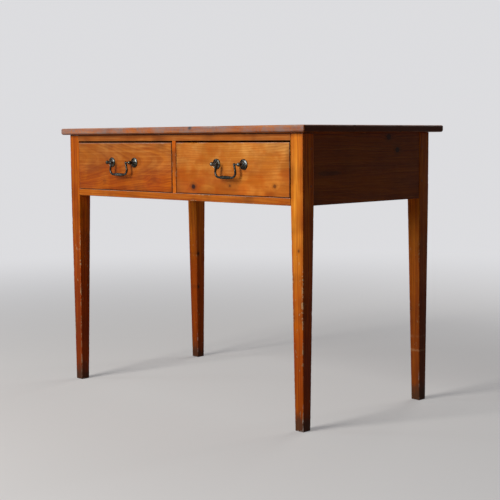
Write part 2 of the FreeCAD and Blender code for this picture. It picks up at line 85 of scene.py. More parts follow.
# Lines of painted shade: under the top along the frame, and along the drawer fronts' right edges.
FRAME_SHADE_LINE = Seam("Z", 4.5 * MM)
DRAWER_SHADE_LINE = Seam("X", 3.6 * MM)

BOARDS = {
    "top_board_front": Board(
        "XYZ", 1.3, pith=(0.03, -0.09), lean=0.006, tone=(1.0, 1.0, 1.1), figure=0.5, mottle=0.5, wear=0.6,
        rub=0.75, knots=(
            Knot(0.083, -0.2745, 0.0045, 1.0, depth=0.7375), Knot(-0.128, -0.275, 0.002, 0.8, depth=0.739),
            Knot(0.31, -0.15, 0.009, 0.9))),
    "top_board_middle": Board(
        "XYZ", 2.1, pith=(-0.02, -0.07), lean=-0.008, tone=(0.95, 0.92, 0.95), figure=0.5, mottle=0.5,
        wear=0.4, knots=(Knot(-0.24, 0.02, 0.008, 0.9),)),
    "top_board_back": Board(
        "XYZ", 3.7, pith=(0.05, -0.1), lean=0.01, tone=(0.92, 0.88, 0.9), figure=0.5, wear=0.5, rub=0.5,
        knots=(Knot(0.1, 0.21, 0.007, 0.9), Knot(-0.36, 0.16, 0.01, 0.8))),
    "leg_front_left": Board(
        "ZXY", 4.2, pith=(0.04, 0.05), lean=0.004, tone=(0.88, 0.68, 0.2), figure=0.7, mottle=0.3,
        gloss=0.12, wear=2.9, deep=LEG_SHADE, right=(1.75, 1.75, 1.75), seam=FRAME_SHADE_LINE),
    "leg_front_right": Board(
        "ZXY", 5.6, pith=(-0.05, 0.06), lean=-0.003, tone=(1.36, 1.5, 1.15), figure=0.7, mottle=0.5,
        gloss=0.12, wear=2.2, deep=LEG_SHADE, right=(1.04, 0.83, 0.68), seam=FRAME_SHADE_LINE,
        knots=(Knot(0.441, 0.446, 0.003, 0.6),)),
    "leg_rear_left": Board(
        "ZYX", 6.4, pith=(0.05, -0.06), lean=0.005, tone=(1.36, 1.31, 0.26), figure=0.7, mottle=0.3,
        gloss=0.1, wear=0.9, deep=LEG_SHADE, right=(1.15, 1.12, 1.2),
        knots=(Knot(0.34, 0.209, 0.004, 1.0), Knot(0.2325, 0.208, 0.004, 1.0))),
    # Its darkening lower down is painted shade.
    "leg_rear_right": Board(
        "ZYX", 7.9, pith=(-0.05, 0.06), lean=0.004, tone=(1.4, 1.5, 0.9), figure=0.7, mottle=0.3, gloss=0.1,
        wear=0.7, deep=Change(0.5, 0.22, 0.7), fade=Change(0.42, 0.2, 0.38), right=(0.74, 0.64, 0.5),
        scuffs=(0.175, 0.137)),
    "side_rail_left": Board(
        "YZX", 8.3, pith=(0.02, -0.05), lean=0.02, tone=(0.9, 0.75, 0.65), gloss=0.15,
        knots=(Knot(-0.05, 0.66, 0.007, 0.9),)),
    # Its dark tone is painted shade on the side away from the light.
    "side_rail_right": Board(
        "YZX", 9.5, pith=(-0.03, 0.05), lean=-0.015, tone=(0.60, 0.54, 0.52), figure=0.65, mottle=0.3,
        gloss=0.06, knots=(
            Knot(0.0714, 0.711, 0.008, 0.8), Knot(0.107, 0.678, 0.0075, 0.8),
            Knot(-0.159, 0.624, 0.006, 0.45, stretch=6))),
    "back_rail": Board(
        "XZY", 10.1, pith=(0.03, 0.05), lean=0.02, tone=(0.88, 0.78, 0.7), gloss=0.15,
        knots=(Knot(-0.2, 0.62, 0.008, 0.9), Knot(0.28, 0.69, 0.006, 0.8))),
    # Its darkening towards the left is painted shade.
    "front_top_rail": Board(
        "XZY", 11.7, pith=(0.05, 0.06), lean=0.004, tone=(0.85, 0.9, 1.4), fade=Change(0.3, -0.3, 0.25),
        seam=FRAME_SHADE_LINE),
    "front_bottom_rail": Board(
        "XZY", 12.2, pith=(-0.06, 0.05), lean=-0.004, tone=(0.88, 0.8, 0.66), mottle=0.6, wear=1.0),
    "drawer_divider": Board(
        "ZXY", 13.4, pith=(0.04, 0.06), lean=0.003, tone=(1.2, 0.98, 0.4), mottle=0.3),
    # The extra blue in the drawer fronts' tones is painted sheen.
    "left_drawer_front": Board(
        "XZY", 14.6, pith=(0.02, 0.05), lean=0.1, tone=(0.89, 0.97, 1.45), mottle=0.7, gloss=0.35, wear=0.45,
        deep=Change(0.69, 0.58, 0.95), fade=Change(-0.08, -0.2, 0.17), seam=DRAWER_SHADE_LINE,
        knots=(Knot(-0.085, 0.604, 0.009, 0.1), Knot(-0.3, 0.592, 0.006, 0.2))),
    "right_drawer_front": Board(
        "XZY", 15.9, pith=(-0.045, 0.06), lean=-0.02, tone=(1.08, 1.3, 2.0), figure=0.34, mottle=1.0,
        gloss=0.35, wear=0.45, deep=Change(0.69, 0.58, 0.62), fade=Change(0.3, 0.12, 0.18),
        seam=DRAWER_SHADE_LINE, knots=(
            Knot(0.0755, 0.5855, 0.0063, 1.0), Knot(0.212, 0.591, 0.0034, 0.55),
            Knot(0.369, 0.5935, 0.0048, 0.6))),
}

Lamp = namedtuple("Lamp", "size place target colour")
LAMPS = {
    "key": Lamp((1.4, 2.4), (-0.42, -3.4, 1.9), (0, 0, 0.45), (1.0, 0.97, 0.93)),
    "glint": Lamp((0.9, 1.4), (-3.3, -3.0, 2.3), (0, -0.3, 0.65), (0.88, 0.95, 1.0)),
    "back": Lamp((2.4, 2.0), (0.0, 3.4, 2.6), (0, 0, 0.5), (1.0, 0.98, 0.96)),
}


# Settings

def tint(name, description, default):
    """A colour in the panel."""
    return FloatVectorProperty(
        name=name, description=description, subtype="COLOR", size=3, min=0, max=1, default=default)


def length(name, description, least, most, default):
    """A length in the panel."""
    return FloatProperty(
        name=name, description=description, subtype="DISTANCE", unit="LENGTH", min=least, max=most,
        default=default)


def angle(name, description, degrees):
    """An angle in the panel."""
    return FloatProperty(
        name=name, description=description, subtype="ANGLE", unit="ROTATION", default=math.radians(degrees))


def power(name, description, default):
    """A lamp's power in the panel."""
    return FloatProperty(name=name, description=description, unit="POWER", min=0, default=default)


class PineTableTimber(bpy.types.PropertyGroup):
    """Colours of the pine and how far its edges have worn."""

    early_wood: tint("Early wood", "Pale band of each year ring under the old polish", (0.58, 0.165, 0.012))
    late_wood: tint("Late wood", "Dark band of each year ring under the old polish", (0.33, 0.066, 0.005))
    flame: tint("Flame", "Lighter patches where the grain runs out of the surface", (0.78, 0.300, 0.045))
    # The patina colour also lays painted shade down the legs and along the grain.
    patina: tint("Patina", "Darkened polish and wax", (0.085, 0.019, 0.004))
    # The knot colour also lays the painted shade in the joints and under the lower edges.
    knot: tint("Knot", "Dead knots, and the dirt in joints", (0.035, 0.012, 0.008))
    worn_wood: tint("Worn wood", "Bare wood where the polish has rubbed or chipped away", (0.66, 0.42, 0.22))
    # Also the tint of the painted shade lower down the legs and drawer fronts.
    shellac_and_shade: tint("Shellac", "Tint of the redder polish, lower down and in patches", (0.92, 0.56, 0.08))
    # A painted grey reflection on the top's edges.
    edge_reflection: tint("Handled wood", "Grey of the top's edge where hands have worn it", (0.20, 0.20, 0.22))
    # Also the painted sheen on the edges that face up.
    dust_and_sheen: tint("Dust", "Pale dust and old wax on edges that face up and on the feet", (0.58, 0.55, 0.54))
    floor_dirt: tint("Floor dirt", "Dark dirt at the feet", (0.050, 0.032, 0.020))
    inside_early: tint("Inside early wood", "Pale band of the bare wood inside", (0.52, 0.34, 0.17))
    inside_late: tint("Inside late wood", "Dark band of the bare wood inside", (0.34, 0.185, 0.075))
    ring_spacing: length("Ring spacing", "Width of a year ring", 0.001, 0.02, 0.0048)
    arris_radius: length("Arris radius", "Rounding of the legs' edges", 0.0003, 0.004, 0.0018)
    rub_depth: length("Rub depth", "How far the edges have worn away at most", 0.0, 0.004, 0.0011)
    edge_step: length("Edge step", "Spacing of the points along a worn edge", 0.002, 0.02, 0.0045)


class PineTableBrass(bpy.types.PropertyGroup):
    """Sizes and colours of the swan-neck handles."""

    rosette_radius: length("Rosette radius", "Radius of the plate behind each post", 0.008, 0.02, 0.0135)
    ball_radius: length("Ball radius", "Radius of the ball that holds the bail's pin", 0.004, 0.008, 0.0055)
    pivot_reach: length(
        "Pivot reach", "How far the bail's pivot line stands out from the drawer front", 0.012, 0.025, 0.017)
    bail_half_width: length(
        "Bail half width", "From the middle of the bail to the top of an arm", 0.025, 0.04, 0.0327)
    bail_drop: length("Bail drop", "From the pivot line down to the middle of the grip", 0.02, 0.04, 0.033)
    arm_radius: length("Arm radius", "Radius of the bail's arms", 0.0015, 0.004, 0.003)
    grip_radius: length("Grip radius", "Radius of the grip at its middle", 0.0025, 0.006, 0.0046)
    patina: tint("Patina", "Dark skin of the old brass", (0.034, 0.033, 0.028))
    # Its blue tint is a painted reflection.
    bright: tint("Bright", "Brass where hands have rubbed it", (0.27, 0.30, 0.31))
    verdigris: tint("Verdigris", "Dull olive bloom on the old brass", (0.15, 0.135, 0.08))


class PineTableStage(bpy.types.PropertyGroup):
    """Camera, lamps and floor."""

    camera_place: FloatVectorProperty(
        name="Camera place", description="Where the camera stands", subtype="TRANSLATION", unit="LENGTH",
        size=3, default=(2.269186, -2.235305, 0.710994))
    camera_turn: angle("Camera turn", "Angle to the left of straight ahead", 45.1146)
    camera_tilt: angle("Camera tilt", "Angle above the horizon", -5.6614)
    camera_roll: angle("Camera roll", "Turn about the line of sight", -0.395)
    camera_lens: FloatProperty(
        name="Camera lens", description="Focal length on a 36 mm sensor", unit="CAMERA", min=1,
        default=81.481)
    key_power: power("Key power", "Power of the big soft lamp at the front left", 120.0)
    glint_power: power("Glint power", "Power of the small lamp at the left that glints in the brass", 14.0)
    back_power: power("Back power", "Power of the soft lamp behind", 45.0)
    fill: tint("Fill", "Light that comes from all round", (0.05, 0.05, 0.055))
    wall: tint("Wall", "Pale background", (0.72, 0.72, 0.74))
    floor: tint("Floor", "Pale floor", (0.80, 0.785, 0.77))
    floor_bounce: tint("Floor bounce", "Light that the floor throws back up", (0.24, 0.16, 0.10))


def settings():
    scene = bpy.context.scene
    return scene.pine_table_timber, scene.pine_table_brass, scene.pine_table_stage


# Finishes

def maths(operation, swapped=False):
    """A method that puts its values through a Math node."""
    def method(*values):
        inputs = dict(enumerate(reversed(values) if swapped else values))
        return values[0].finish.value("Math", {"operation": operation}, inputs)
    return method


class Value:
    """One output in a finish. Arithmetic on it adds Math nodes to the finish."""

    __add__ = __radd__ = maths("ADD")
    __sub__ = maths("SUBTRACT")
    __rsub__ = maths("SUBTRACT", swapped=True)
    __mul__ = __rmul__ = maths("MULTIPLY")
    __truediv__ = maths("DIVIDE")
    __abs__ = maths("ABSOLUTE")
    root = maths("SQRT")
    fraction = maths("FRACT")
    least = maths("MINIMUM")
    most = maths("MAXIMUM")

    def __init__(self, finish, socket):
        self.finish = finish
        self.socket = socket

    def square(self):
        return self * self

    def rise(self, start, end):
        """0 before start and 1 after end, smooth between; it falls where end is below start."""
        ramp = {"interpolation_type": "SMOOTHSTEP"}
        return self.finish.value("MapRange", ramp, {0: self, 1: start, 2: end})


class Finish:
    """A node material or world that is being mixed."""

    def __init__(self, owner):
        owner.use_nodes = True
        self.owner = owner
        self.tree = owner.node_tree
        self.tree.nodes.clear()

    def node(self, kind, choices, inputs):
        """Add a node of a type, set it up, then fill or link its sockets."""
        node = self.tree.nodes.new("ShaderNode" + kind)
        for key, choice in choices.items():
            setattr(node, key, choice)
        for key, content in inputs.items():
            socket = node.inputs[key]
            if isinstance(content, Value):
                self.tree.links.new(content.socket, socket)
            elif socket.type == "RGBA" and len(content) == 3:
                socket.default_value = (*content, 1)
            else:
                socket.default_value = content
        return node

    def value(self, kind, choices, inputs, output=0):
        return Value(self, self.node(kind, choices, inputs).outputs[output])

    def coordinates(self, kind):
        return self.value("TexCoord", {}, {}, kind)

    def split(self, vector):
        node = self.node("SeparateXYZ", {}, {0: vector})
        return [Value(self, socket) for socket in node.outputs]

    def mix(self, factor, low, high, way="MIX"):
        choices = {"data_type": "RGBA", "blend_type": way}
        return self.value("Mix", choices, {0: factor, 6: low, 7: high}, 2)


class Surface(Finish):
    """A material by its place on the table. Scales of noise are in waves per metre."""

    def __init__(self, name):
        super().__init__(bpy.data.materials.new(name))
        self.place = self.coordinates("Object")

    def cloud(self, scales, seed, detail=2.0):
        """Soft noise from 0 to 1 with a scale for each axis."""
        scaled = self.value("VectorMath", {"operation": "MULTIPLY"}, {0: self.place, 1: scales})
        inputs = {"Vector": scaled, "W": seed, "Scale": 1.0, "Detail": detail}
        return self.value("TexNoise", {"noise_dimensions": "4D"}, inputs)

    def bands(self, value, seed):
        """Uneven bands from 0 to 1 along a value, about one for each step of 1."""
        inputs = {"W": value + seed, "Scale": 1.0, "Detail": 2.5, "Roughness": 0.6}
        return self.value("TexNoise", {"noise_dimensions": "1D"}, inputs)

    def surface(self, inputs, height, depth):
        """End in a Principled shader over a bump of a height."""
        bump = self.value("Bump", {}, {"Strength": 1.0, "Distance": depth, "Height": height})
        shader = self.value("BsdfPrincipled", {}, {**inputs, "Normal": bump})
        self.node("OutputMaterial", {}, {0: shader})
        return self.owner


class Pine(Surface):
    """A finish on one board of pine, whose colour is laid on in layers."""

    def __init__(self, name, board, timber, middle, taper=None):
        super().__init__(name)
        self.board, self.timber, self.middle = board, timber, middle
        self.order = [AXES.index(axis) for axis in board.axes]
        self.spot = self.split(self.place)
        self.height = self.spot[2]
        if taper:
            narrow = 1 - ((taper.start - self.height) / taper.start).most(0) * taper.shrink
            for axis in (0, 1):
                self.spot[axis] = (self.spot[axis] - taper.centre[axis]) / narrow + taper.centre[axis]
        self.knots = self.halo = None
        self.show_figure()

    def grain(self, lengthways, across, seed, detail=2.0):
        """Soft noise with one scale along the grain and another across it."""
        scales = [across] * 3
        scales[self.order[0]] = lengthways
        return self.cloud(scales, self.board.seed + seed, detail)

    def lay(self, factor, layer, way="MIX"):
        """Lay a colour over those so far."""
        self.colour = self.mix(factor, self.colour, layer, way)

    def show_figure(self):
        """Year rings, good and bad years, fibres and knots from 0 to 1. The rings bend round the knots."""
        board, spacing = self.board, self.timber.ring_spacing
        along, across, deep = (self.spot[axis] for axis in self.order)
        heart = [self.middle[axis] for axis in self.order]
        drift = self.grain(2.6, 7, 0) - 0.5
        wander = self.grain(12, 60, 20) - 0.5
        side = across - (heart[1] + board.pith[0]) + drift * 0.06
        depth = deep - (heart[2] + board.pith[1])
        radius = (side.square() + depth.square()).root() + (along - heart[0]) * board.lean + wander * 0.004
        rough = self.grain(260, 260, 7) - 0.5
        for knot in board.knots:
            lengthways = ((along - knot.along) / (knot.radius * knot.stretch)).square()
            sideways = ((across - knot.across) / knot.radius).square()
            reach = (lengthways * 0.05 + sideways * 0.16).root()
            radius = radius + reach.rise(1.15, 0) * knot.radius * 0.8
            spread = lengthways * 0.7 + sideways
            if knot.depth is not None:
                spread = spread + ((deep - knot.depth) / knot.radius).square()
            span = spread.root() + rough * 0.9
            core = span.rise(1.15, 0.75) * knot.dark
            ring = span.rise(2.6, 1.0) * knot.dark * 0.45
            self.knots = self.knots.most(core) if self.knots else core
            self.halo = self.halo.most(ring) if self.halo else ring
        turn = (radius / spacing).fraction()
        self.late = turn.rise(0.25, 0.9) * turn.rise(1.0, 0.93)
        self.years = self.bands(radius / (spacing * 1.8), board.seed * 7).rise(0.36, 0.66)
        self.fibres = self.grain(45, 1500, 3, 3.0)


class PolishedPine(Pine):
    """Old shellac and wax over pine, with its own rings, knots, patches, wear and dirt, and painted light and
    shade.
    """

    def __init__(self, name, low, high, timber, taper=None):
        super().__init__(name, BOARDS[name], timber, (low + high) / 2, taper)
        self.is_leg = taper is not None
        self.high = high
        half = (high - low) / 2
        gaps = [half[axis] - abs(self.spot[axis] - self.middle[axis]) for axis in range(3)]
        # The middle one of the three gaps is the distance to the nearest arris.
        self.near = gaps[0].least(gaps[1]).most(gaps[0].most(gaps[1]).least(gaps[2]))
        self.normal = self.split(self.coordinates("Normal"))
        # Painted shade under the lower edges: faces that look down, near an arris.
        self.below = (0 - self.normal[2]).rise(0.05, 0.45) * (self.near / 0.0035).rise(1, 0.5)
        self.end_grain = abs(self.normal[self.order[0]]).rise(0.4, 0.9)
        self.patches = self.grain(20, 24, 31, 3.0)
        self.bruises = self.grain(14, 14, 51)
        self.crumbs = self.grain(150, 150, 57, 3.0)

    def lay_wood(self):
        """Rings, flames, red and dark stains, fibres and streaks."""
        board, timber = self.board, self.timber
        rings = (self.years * 0.85 + self.late * 0.42) * board.figure
        self.colour = self.mix(rings, timber.early_wood, timber.late_wood)
        curl = self.grain(60, 30, 37)
        flame = self.patches.rise(0.42, 0.68) * (curl * 0.7 + 0.3) * board.mottle * (1 - self.late * 0.5)
        self.lay(flame, timber.flame)
        blush = self.grain(18, 26, 91, 3.0)
        self.lay(blush.rise(0.48, 0.66) * board.mottle * 0.5, timber.shellac_and_shade, "MULTIPLY")
        stain = self.grain(9, 14, 41, 3.0)
        self.lay(stain.rise(0.48, 0.78) * 0.3, timber.patina)
        self.lay(self.fibres.rise(0.55, 0.85) * 0.25, timber.patina)
        streaks = self.grain(7, 280, 81)
        self.lay(streaks.rise(0.5, 0.72) * board.figure * 0.9, timber.late_wood)
        self.lay(streaks.rise(0.47, 0.27) * board.figure * 0.75, timber.flame)
        self.lay(1.0, board.tone, "MULTIPLY")

    def lay_age(self):
        """Painted shade lower down, darker places along the grain, painted light and shade on the faces that
        look to the right, and knots.
        """
        board, timber = self.board, self.timber
        along = self.spot[self.order[0]]
        # deep lays painted shade lower down; fade darkens between two places along the grain.
        changes = ((board.deep, self.height, timber.shellac_and_shade, "MULTIPLY"),
                   (board.fade, along, timber.patina, "MIX"))
        for change, spot, layer, way in changes:
            if change:
                self.lay(spot.rise(change.start, change.end) * change.strength, layer, way)
        # Painted light and shade: the faces that look to the right get their own tint.
        if board.right:
            self.lay(self.normal[0].rise(0.3, 0.8), board.right, "MULTIPLY")
        if board.knots:
            self.lay(self.halo, timber.patina)
            self.lay(self.knots, timber.knot)

    def lay_dirt(self):
        """Grime along the arrises, and painted shade in the joints and under the lower edges."""
        seam, timber = self.board.seam, self.timber
        band = (self.near / (self.bruises * 0.03 + 0.004)).rise(1, 0.1)
        self.lay(band * self.bruises.rise(0.5, 0.75) * 0.5, timber.patina)
        # A line of painted shade at the far side of the axis.
        if seam:
            axis = AXES.index(seam.axis)
            line = ((self.high[axis] - self.spot[axis]) / seam.width).rise(1, 0.4)
            self.lay(line * 0.85, timber.knot)
        # Painted shade under the lower edges.
        self.lay(self.below * 0.97, timber.knot)

    def lay_wear(self):
        """Painted grey reflection on the top's edges, dark end grain, chips, and dust with painted sheen on
        the edges that face up.
        """
        board, timber = self.board, self.timber
        bruised = 0.007 if self.is_leg else 0.004
        more = board.wear * 0.03
        self.edge = (self.near / (self.bruises.rise(0.35, 0.75) * bruised + 0.001)).rise(1, 0.25)
        self.chips = (self.edge * self.crumbs.rise(0.57 - more, 0.62 - more)
                      * self.bruises.rise(0.51 - more, 0.66 - more))
        if self.is_leg:
            self.flecks = self.grain(80, 170, 97, 3.0)
            self.chips = self.chips.most(self.flecks.rise(0.67, 0.71)) * self.height.rise(0.46, 0.38)
        self.wear = self.chips * board.wear * (1 - self.below) * (1 - self.end_grain * 0.8)
        # Painted grey reflection on the top's edges that face out, in patches.
        if board.rub:
            outward = abs(self.normal[self.order[1]]).rise(0.5, 0.9)
            hands = (self.patches * 0.6 + self.crumbs * 0.4).rise(0.3, 0.65)
            self.lay(outward * hands * board.rub, timber.edge_reflection)
        self.lay(self.end_grain * 0.92, timber.patina)
        self.lay(self.wear.least(1) * 0.8, timber.worn_wood)
        # Painted sheen on the edges that face up, laid as pale dust.
        upward_sheen = self.normal[2].rise(0.1, 0.5) * self.normal[2].rise(0.99, 0.9) * self.bruises.rise(0.25, 0.5)
        self.lay(self.edge * upward_sheen * (1 - self.end_grain) * board.wear * 0.6, timber.dust_and_sheen)

    def lay_foot(self):
        """Painted shade darker down a leg, dirt and pale flecks at its foot, and scuffs."""
        timber = self.timber
        # Painted shade, darker down the leg.
        self.lay(self.height.rise(0.62, 0.05) * 0.55, timber.patina)
        smear = self.grain(35, 70, 61, 3.0) * 0.07 - 0.02
        self.lay((self.height - smear).rise(0.045, 0.0) * 0.8, timber.floor_dirt)
        self.lay(self.edge * self.flecks.rise(0.5, 0.6) * self.height.rise(0.1, 0.03) * 0.45, timber.dust_and_sheen)
        for height in self.board.scuffs:
            mark = abs(self.height - height + (self.crumbs - 0.5) * 0.012).rise(0.005, 0.001)
            self.lay(mark * self.patches.rise(0.3, 0.6) * 0.22, timber.worn_wood)

    def polished(self):
        """Lay on all the colours and polish them. Faces that look up are duller."""
        self.lay_wood()
        self.lay_age()
        self.lay_dirt()
        self.lay_wear()
        if self.is_leg:
            self.lay_foot()
        dull = self.normal[2].rise(0.7, 0.95)
        gloss = self.grain(7, 24, 71).rise(0.25, 0.8) * self.board.gloss
        return self.surface({
            "Base Color": self.colour,
            "Roughness": self.fibres * 0.12 + self.wear * 0.25 + dull * 0.2 + 0.34,
            "Coat Weight": (1 - self.wear) * (1 - self.end_grain) * (1 - dull * 0.75) * gloss,
            "Coat Roughness": 0.18,
            "Specular IOR Level": 0.1,
        }, self.fibres * 0.25 + self.late * 0.2 - self.chips, 0.0004)


def bare_pine(name, axes, seed, timber):
    """Dry unpolished pine, dusty and a little stained, as inside an old drawer."""
    board = Board(axes, seed, pith=(0.07, 0.08), lean=0.004, tone=None)
    pine = Pine(name, board, timber, Vector((0, 0, 0.6)))
    pine.colour = pine.mix(pine.late * 0.45 + pine.years * 0.4, timber.inside_early, timber.inside_late)
    pine.lay(pine.grain(6, 9, 4, 4.0).rise(0.45, 0.8) * 0.35, timber.patina)
    pine.lay(pine.fibres.rise(0.5, 0.85) * 0.2, timber.patina)
    return pine.surface({
        "Base Color": pine.colour,
        "Roughness": pine.fibres * 0.15 + 0.68,
        "Specular IOR Level": 0.25,
    }, pine.fibres * 0.5 + pine.late * 0.3, 0.0004)


def peg_wood(timber):
    """End grain of the riven pegs, darkened by polish."""
    finish = Surface("peg_end_grain")
    speck = finish.cloud((900, 900, 900), 2.0, 3.0)
    tone = finish.cloud((40, 40, 40), 5.0)
    colour = finish.mix(speck.rise(0.4, 0.7), timber.late_wood, timber.patina)
    colour = finish.mix(tone * 0.5, colour, timber.early_wood)
    return finish.surface({"Base Color": colour, "Roughness": speck * 0.2 + 0.45}, speck, 0.0003)


def aged_brass(name, brass, rubbed, dulled):
    """Old cast brass with a dark skin, a share of rubbed places and a share of bloom."""
    finish = Surface(name)
    cloud = finish.cloud((70, 70, 70), 1.0, 3.0)
    grain = finish.cloud((600, 600, 600), 4.0, 3.0)
    bloom = finish.cloud((160, 160, 160), 9.0)
    colour = finish.mix((cloud * 0.6 + grain * 0.4).rise(0.46, 0.7) * rubbed, brass.patina, brass.bright)
    green = bloom.rise(0.48, 0.68) * dulled
    colour = finish.mix(green, colour, brass.verdigris)
    return finish.surface({
        "Base Color": colour,
        "Metallic": 0.95 - green * 0.5,
        "Roughness": cloud * 0.2 + grain * 0.1 + 0.09,
    }, grain * 0.5 + cloud, 0.00008)


def old_iron():
    """Rusty brown iron of the screws and nails."""
    finish = Surface("old_iron")
    rust = finish.cloud((350, 350, 350), 6.0, 4.0)
    bare, rusty = (0.045, 0.042, 0.04), (0.14, 0.06, 0.028)
    return finish.surface({
        "Base Color": finish.mix(rust.rise(0.4, 0.7), bare, rusty),
        "Metallic": rust.rise(0.65, 0.35) * 0.8,
        "Roughness": rust * 0.3 + 0.45,
    }, rust, 0.0003)


# Modelling

def only(piece):
    """Leave one object selected and active."""
    bpy.ops.object.select_all(action="DESELECT")
    piece.select_set(True)
    bpy.context.view_layer.objects.active = piece


def settle():
    """Put the place, turn and size of what is selected into its mesh."""
    bpy.ops.object.transform_apply(location=True, rotation=True, scale=True)


@contextmanager
def editing(piece, kind, action="SELECT"):
    """Edit a piece's points, edges or faces, all selected or none."""
    only(piece)
    bpy.ops.object.mode_set(mode="EDIT")
    bpy.ops.mesh.select_mode(type=kind)
    bpy.ops.mesh.select_all(action=action)
    yield
    bpy.ops.object.mode_set(mode="OBJECT")


@contextmanager
def editing_edges(piece, test):
    """Edit a piece with only the edges selected whose two ends pass a test."""
    with editing(piece, "EDGE", "DESELECT"):
        pass
    points = piece.data.vertices
    for edge in piece.data.edges:
        edge.select = test(*(points[number].co for number in edge.vertices))
    bpy.ops.object.mode_set(mode="EDIT")
    yield
    bpy.ops.object.mode_set(mode="OBJECT")


def made(add, **choices):
    """A new mesh of one of Blender's own shapes, with its place and turn in the mesh."""
    add(**choices)
    settle()
    return bpy.context.active_object


def block(name, low, high):
    """A sawn block between two corners."""
    bpy.ops.mesh.primitive_cube_add(size=1, location=(low + high) / 2)
    piece = bpy.context.active_object
    piece.name = name
    piece.scale = high - low
    settle()
    return piece


def saw(piece, axis, at):
    """Cut an edge loop round a piece on a plane."""
    across = Vector([number == axis for number in range(3)])
    with editing(piece, "EDGE"):
        bpy.ops.mesh.bisect(plane_co=across * at, plane_no=across)


def saw_margins(piece, axes, low, high, margin):
    """Cut edge loops at a margin inside both ends of a block."""
    for axis in axes:
        saw(piece, axis, low[axis] + margin)
        saw(piece, axis, high[axis] - margin)


def round_edges(piece, radius, segments, test):
    with editing_edges(piece, test):
        bpy.ops.mesh.bevel(offset_type="OFFSET", offset=radius, segments=segments, affect="EDGES")


def divide(piece, axis, step, shortest):
    """Divide the long edges that run along an axis into steps, one length at a time."""
    straight = 0.98
    alike = 1e-4
    lengths = set()
    for edge in piece.data.edges:
        a, b = (piece.data.vertices[number].co for number in edge.vertices)
        run = abs(a[axis] - b[axis])
        if run > shortest and run > straight * (a - b).length:
            lengths.add(round(run, 4))
    for run in lengths:
        with editing_edges(piece, lambda a, b: abs(abs(a[axis] - b[axis]) - run) < alike
                           and run > straight * (a - b).length):
            bpy.ops.mesh.subdivide(number_cuts=max(1, round(run / step) - 1))


def both_on(a, b, axis, at, reach=TOUCH):
    """Whether two points both lie within reach of a plane across an axis."""
    return abs(a[axis] - at) < reach and abs(b[axis] - at) < reach


def touching(point, low, high):
    """The axes on which a point lies on the outside of a box."""
    return {axis for axis in range(3) if min(point[axis] - low[axis], high[axis] - point[axis]) < TOUCH}


def arris(low, high):
    """A test for the edges of a block that lie on two of its faces."""
    def test(a, b):
        return len(touching(a, low, high) & touching(b, low, high)) > 1
    return test


def weather(piece, node, low, high, reach, timber):
    """Rub the arrises of a board down unevenly, with chips here and there."""
    rub_scale, chip_scale, chip_from = 45, 130, 0.22
    seed = BOARDS[node].seed
    lift = Vector((seed, 2 * seed, 3 * seed))
    normals = [vertex.normal.copy() for vertex in piece.data.vertices]
    for vertex, normal in zip(piece.data.vertices, normals):
        gaps = sorted(min(vertex.co[axis] - low[axis], high[axis] - vertex.co[axis]) for axis in range(3))
        near = 1 - gaps[1] / reach
        if near > 0:
            rub = 0.5 + 0.5 * noise.noise(vertex.co * rub_scale + lift)
            chip = max(0, noise.noise(vertex.co * chip_scale + lift) - chip_from)
            vertex.co -= normal * timber.rub_depth * near * (0.35 * rub + 1.3 * chip)


def finish_piece(piece, body, node, material):
    """Shade a new piece, give it its finish and put it in the place of a CAD node."""
    only(piece)
    bpy.ops.object.shade_smooth_by_angle(angle=CREASE)
    piece.data.materials.clear()
    piece.data.materials.append(material)
    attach(piece, body)
    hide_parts(node)


def dress(material, *nodes):
    """Give CAD nodes a finish in place of their plain ones."""
    for node in nodes:
        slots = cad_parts[node].data.materials
        slots.clear()
        slots.append(material)


def turning(name, outline, steps, centre=Vector(), outward=Vector((1, 0, 0)), along=Vector((0, -1, 0))):
    """Turn an outline of (radius, reach) points about a line from a centre. As given, it faces the front."""
    piece = made(bpy.ops.mesh.primitive_plane_add, size=MM)
    piece.name = name
    points = [centre + outward * radius + along * reach for radius, reach in outline]
    with editing(piece, "VERT"):
        bpy.ops.mesh.merge(type="CENTER")
        bpy.ops.transform.translate(value=points[0])
        for here, there in zip(points, points[1:]):
            bpy.ops.mesh.extrude_region_move(TRANSFORM_OT_translate={"value": there - here})
        bpy.ops.mesh.select_all(action="SELECT")
        bpy.ops.mesh.spin(steps=steps, angle=math.tau, center=centre, axis=along)
        bpy.ops.mesh.select_all(action="SELECT")
        bpy.ops.mesh.remove_doubles(threshold=MERGE)
        bpy.ops.mesh.normals_make_consistent(inside=False)
    return piece


def bow(start, middle, end, count=6):
    """Points of a smooth bend from a start through a middle to an end, without the start."""
    points = []
    for number in range(1, count + 1):
        t = number / count
        before, at, after = (1 - t) * (1 - 2 * t), 4 * t * (1 - t), t * (2 * t - 1)
        points.append(tuple(before * a + at * b + after * c for a, b, c in zip(start, middle, end)))
    return points


def joined(name, pieces):
    """Join pieces into one object."""
    only(pieces[0])
    for piece in pieces:
        piece.select_set(True)
    bpy.ops.object.join()
    pieces[0].name = name
    return pieces[0]


def copied(piece, by):
    """A copy of a piece with its own mesh, moved by a vector."""
    only(piece)
    bpy.ops.object.duplicate(linked=False)
    copy = bpy.context.active_object
    copy.location = by
    settle()
    return copy


def discard(piece):
    only(piece)
    bpy.ops.object.delete()


def applied(piece, kind, **choices):
    """Add a modifier, set it up and apply it."""
    only(piece)
    modifier = piece.modifiers.new(kind.title(), kind)
    for key, choice in choices.items():
        setattr(modifier, key, choice)
    bpy.ops.object.modifier_apply(modifier=modifier.name)


def carve(piece, cutter):
    """Cut a closed shape out of a piece and throw the shape away."""
    applied(piece, "BOOLEAN", operation="DIFFERENCE", solver="EXACT", object=cutter)
    discard(cutter)


